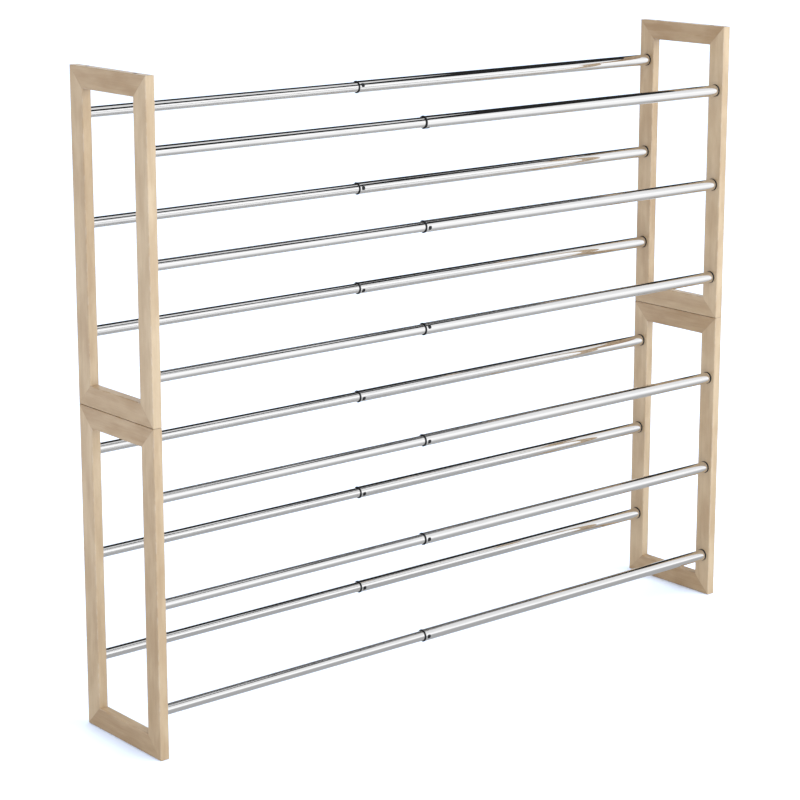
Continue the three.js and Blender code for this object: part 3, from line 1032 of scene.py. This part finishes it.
def build_studio():
    """Soft light from all round; the chrome reflects it as long strips parallel to the rails."""
    settings = bpy.context.scene.rack_stage
    world = bpy.data.worlds.new("studio")
    bpy.context.scene.world = world
    world.use_nodes = True
    tree = world.node_tree
    tree.nodes.clear()
    direction = add_node(tree, "ShaderNodeTexCoord").outputs["Generated"]
    part = add_node(tree, "ShaderNodeSeparateXYZ", {"Vector": direction}).outputs
    turn = calculate(tree, "ARCTAN2", part["Z"], times(tree, part["Y"], -1.0))
    share = times(tree, turn, 1.0 / math.pi)
    ramp = add_node(tree, "ShaderNodeValToRGB", {"Fac": share})
    # Shares of a half turn: 0 is the horizon in front, 0.5 straight up, 1 the horizon behind.
    strips = ((0.0, 1.12), (0.06, 1.12), (0.20, 0.90), (0.40, 0.80), (0.515, 0.76), (0.53, 0.018),
              (0.86, 0.018), (0.885, 0.85), (1.0, 0.85))
    elements = ramp.color_ramp.elements
    elements.remove(elements[1])
    for index, (position, level) in enumerate(strips):
        element = elements[0] if index == 0 else elements.new(position)
        element.position = position
        element.color = (level / 2, level / 2, level / 2, 1.0)
    mirrored = add_node(tree, "ShaderNodeBackground", {"Color": ramp.outputs["Color"], "Strength": 2.0})
    brightest = (0.36, -0.56, 0.75)
    facing = add_node(tree, "ShaderNodeVectorMath", {0: direction, 1: brightest}, operation="DOT_PRODUCT")
    lean = remap(tree, facing.outputs["Value"], -0.8, 0.9)
    tint = blend_colour(tree, lean, (0.56, 0.48, 0.40, 1.0), (1.31, 1.60, 2.08, 1.0))
    soft = add_node(tree, "ShaderNodeBackground", {"Color": tint, "Strength": settings.ambient})
    plain = add_node(tree, "ShaderNodeBackground", {"Color": (1.0, 1.0, 1.0, 1.0), "Strength": 1.0})
    path = add_node(tree, "ShaderNodeLightPath").outputs
    lit = add_node(tree, "ShaderNodeMixShader", {
        0: path["Is Glossy Ray"], 1: soft.outputs[0], 2: mirrored.outputs[0]})
    mixed = add_node(tree, "ShaderNodeMixShader", {
        0: path["Is Camera Ray"], 1: lit.outputs[0], 2: plain.outputs[0]})
    output = add_node(tree, "ShaderNodeOutputWorld")
    tree.links.new(mixed.outputs[0], output.inputs["Surface"])


def build_lights():
    """One large soft light above and in front of the rack."""
    settings = bpy.context.scene.rack_stage
    lamp = bpy.data.lights.new("overhead", "AREA")
    lamp.shape = "RECTANGLE"
    lamp.size, lamp.size_y = 3.5, 2.5
    lamp.energy = settings.overhead
    holder = bpy.data.objects.new("overhead", lamp)
    lamp.color = (0.84, 0.93, 1.07)
    holder.location = (1.3, -2.3, 3.0)
    aim = Vector((0.0, 0.0, 0.5)) - holder.location
    holder.rotation_euler = aim.to_track_quat("-Z", "Y").to_euler()
    holder.visible_glossy = False
    bpy.context.scene.collection.objects.link(holder)


def build_camera():
    """Camera at the height and side from which the rack is shown."""
    settings = bpy.context.scene.rack_stage
    lens = bpy.data.cameras.new("camera")
    lens.sensor_width = 36.0
    lens.lens = settings.lens
    lens.shift_y = settings.lens_shift
    camera = bpy.data.objects.new("camera", lens)
    camera.location = settings.stand
    camera.rotation_euler = (math.pi / 2 + settings.tilt, 0.0, settings.turn)
    bpy.context.scene.collection.objects.link(camera)
    bpy.context.scene.camera = camera
    bpy.context.scene.view_settings.view_transform = "Standard"


# Operators, one for each piece or group of like pieces.

class RACK_OT_end_frames(bpy.types.Operator):
    """Build the sixteen mitred bars of the four end frames."""
    bl_idname = "rack.end_frames"
    bl_label = "End frames"

    def execute(self, context):
        random = np.random.default_rng(TONE_SEED)
        for unit in UNITS:
            for side in SIDES:
                shifts = random.uniform(-GRAIN_SHIFT, GRAIN_SHIFT, (len(BARS), 3))
                tones = random.uniform(-TONE_SPREAD, TONE_SPREAD, len(BARS)) + np.array(BAR_TONES)
                build_end_frame(unit, side, shifts, tones)
        return {"FINISHED"}


class RACK_OT_thick_tubes(bpy.types.Operator):
    """Build the twelve thick tubes seated in the right frames."""
    bl_idname = "rack.thick_tubes"
    bl_label = "Thick tubes"

    def execute(self, context):
        for unit, row, tier in RAILS:
            build_thick_tube(unit, row, tier)
        return {"FINISHED"}


class RACK_OT_thin_tubes(bpy.types.Operator):
    """Build the twelve thin tubes seated in the left frames."""
    bl_idname = "rack.thin_tubes"
    bl_label = "Thin tubes"

    def execute(self, context):
        for unit, row, tier in RAILS:
            build_thin_tube(unit, row, tier)
        return {"FINISHED"}


class RACK_OT_bushings(bpy.types.Operator):
    """Build the twelve bushings between the tubes."""
    bl_idname = "rack.bushings"
    bl_label = "Bushings"

    def execute(self, context):
        for unit, row, tier in RAILS:
            build_bushing(unit, row, tier)
        return {"FINISHED"}


class RACK_OT_frame_rings(bpy.types.Operator):
    """Build the twenty-four rings where the tubes enter the frames."""
    bl_idname = "rack.frame_rings"
    bl_label = "Frame rings"

    def execute(self, context):
        for unit, row, tier in RAILS:
            for side in SIDES:
                build_frame_ring(unit, row, tier, side)
        return {"FINISHED"}


class RACK_OT_pins(bpy.types.Operator):
    """Build the four stacking pins between the units."""
    bl_idname = "rack.pins"
    bl_label = "Stacking pins"

    def execute(self, context):
        for side in SIDES:
            for row in ROWS:
                build_pin(side, row)
        return {"FINISHED"}


class RACK_OT_plugs(bpy.types.Operator):
    """Build the four plugs in the top edges of the upper unit."""
    bl_idname = "rack.plugs"
    bl_label = "Hole plugs"

    def execute(self, context):
        for side in SIDES:
            for row in ROWS:
                build_plug(side, row)
        return {"FINISHED"}


class RACK_OT_stage(bpy.types.Operator):
    """Build the floor, the studio light and the camera."""
    bl_idname = "rack.stage"
    bl_label = "Stage"

    def execute(self, context):
        build_floor()
        build_painted_dark_reflections()
        build_studio()
        build_lights()
        build_camera()
        return {"FINISHED"}


OPERATORS = (
    RACK_OT_end_frames, RACK_OT_thick_tubes, RACK_OT_thin_tubes, RACK_OT_bushings,
    RACK_OT_frame_rings, RACK_OT_pins, RACK_OT_plugs, RACK_OT_stage)


class RACK_PT_sidebar(bpy.types.Panel):
    """Buttons for every group of pieces, in building order."""
    bl_idname = "RACK_PT_sidebar"
    bl_label = "Shoe rack"
    bl_space_type = "VIEW_3D"
    bl_region_type = "UI"
    bl_category = "Shoe rack"

    def draw(self, context):
        for operator in OPERATORS:
            self.layout.operator(operator.bl_idname)


GROUPS = {
    "rack_frames": EndFrameSettings,
    "rack_rails": RailSettings,
    "rack_fittings": FittingSettings,
    "rack_stage": StageSettings,
}


def register():
    for group in GROUPS.values():
        bpy.utils.register_class(group)
    for label, group in GROUPS.items():
        setattr(bpy.types.Scene, label, bpy.props.PointerProperty(type=group))
    for entry in (*OPERATORS, RACK_PT_sidebar):
        bpy.utils.register_class(entry)


def unregister():
    for entry in (RACK_PT_sidebar, *reversed(OPERATORS)):
        bpy.utils.unregister_class(entry)
    for label, group in GROUPS.items():
        delattr(bpy.types.Scene, label)
        bpy.utils.unregister_class(group)


def main():
    register()
    bpy.ops.rack.end_frames()
    bpy.ops.rack.thick_tubes()
    bpy.ops.rack.thin_tubes()
    bpy.ops.rack.bushings()
    bpy.ops.rack.frame_rings()
    bpy.ops.rack.pins()
    bpy.ops.rack.plugs()
    bpy.ops.rack.stage()


if __name__ == "__main__":
    main()
